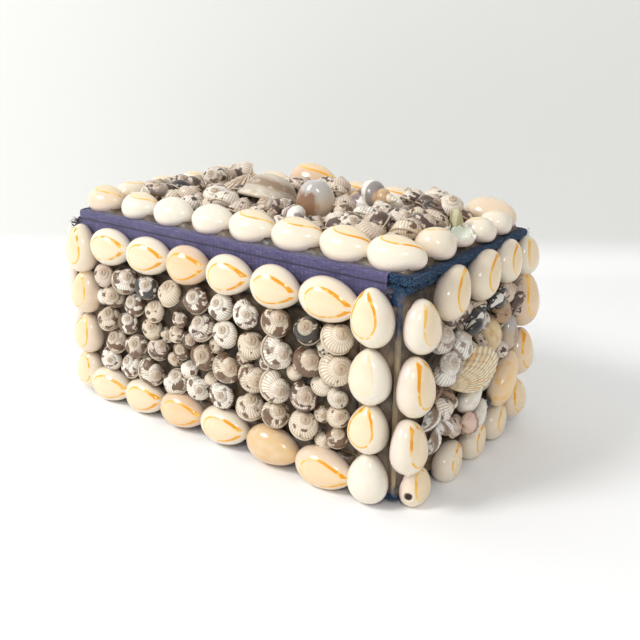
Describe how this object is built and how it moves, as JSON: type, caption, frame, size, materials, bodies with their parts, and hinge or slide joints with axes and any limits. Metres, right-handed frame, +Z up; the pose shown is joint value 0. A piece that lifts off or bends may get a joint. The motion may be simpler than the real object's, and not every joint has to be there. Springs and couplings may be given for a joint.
{
  "type": "shell box",
  "caption": "Small rectangular casket with a cloth-hinged lid, covered in glued sea shells: cowrie borders round fields of small spiral shells.",
  "frame": {"origin": "middle of the flat cloth underside of the box; the lowest border shells reach 1.5 mm below it", "axes": "+Z up; +X along the hinge towards the pictured short end; the hinge side faces -Y and the lid opens from the +Y side"},
  "size_m": [0.1513, 0.088, 0.0809],
  "materials": {
    "board": "glue-soaked, dull",
    "blue_cloth": "dark blue napped cloth, worn at the edges",
    "ribbon": "faded purple woven ribbon",
    "cowrie": "glossy cream shell with an orange ring",
    "turban": "white shell with brown flames, half gloss",
    "mosaic_shell": "mixed shells, half gloss",
    "brown_shell": "ribbed brown shell, satin",
    "grey_shell": "glossy grey-brown shell",
    "pale_shell": "broken pale shell"
  },
  "bodies": {
    "box": {"box_tray": "board", "box_lining": "blue_cloth", "base_cloth": "blue_cloth", "ribbon_lower": "ribbon", "front_left_column": "cowrie", "front_right_column": "cowrie", "front_bottom_row": "cowrie", "front_top_row": "cowrie", "back_left_column": "cowrie", "back_right_column": "cowrie", "back_bottom_row": "cowrie", "back_top_row": "cowrie", "right_left_column": "cowrie", "right_right_column": "cowrie", "right_bottom_row": "cowrie", "right_top_row": "cowrie", "left_left_column": "cowrie", "left_right_column": "cowrie", "left_bottom_row": "cowrie", "left_top_row": "cowrie", "front_turban_field": "turban", "back_turban_field": "turban", "left_mosaic_bed": "turban", "right_mosaic_bed": "turban", "right_fan_shell": "mosaic_shell", "right_clam_shell": "mosaic_shell", "right_peach_shell": "mosaic_shell", "right_cone_shell": "mosaic_shell", "right_whelk": "mosaic_shell", "left_fan_shell": "mosaic_shell"},
    "lid": {"lid_board": "board", "lid_cloth": "blue_cloth", "lid_front_row": "cowrie", "lid_back_row": "cowrie", "lid_left_row": "cowrie", "lid_right_row": "cowrie", "lid_turban_field": "turban", "lid_banded_whelk": "mosaic_shell", "lid_striped_whelk": "mosaic_shell", "lid_limpet": "brown_shell", "lid_open_shell": "brown_shell", "lid_standing_shell": "grey_shell", "lid_broken_cowrie": "pale_shell", "ribbon_upper": "ribbon"}
  },
  "joints": [
    {"name": "lid_hinge", "type": "hinge", "parent": "box", "child": "lid", "pos_m": [0, -0.0357, 0.0622], "axis": [1, 0, 0], "range_deg": [0, 90]}
  ]
}
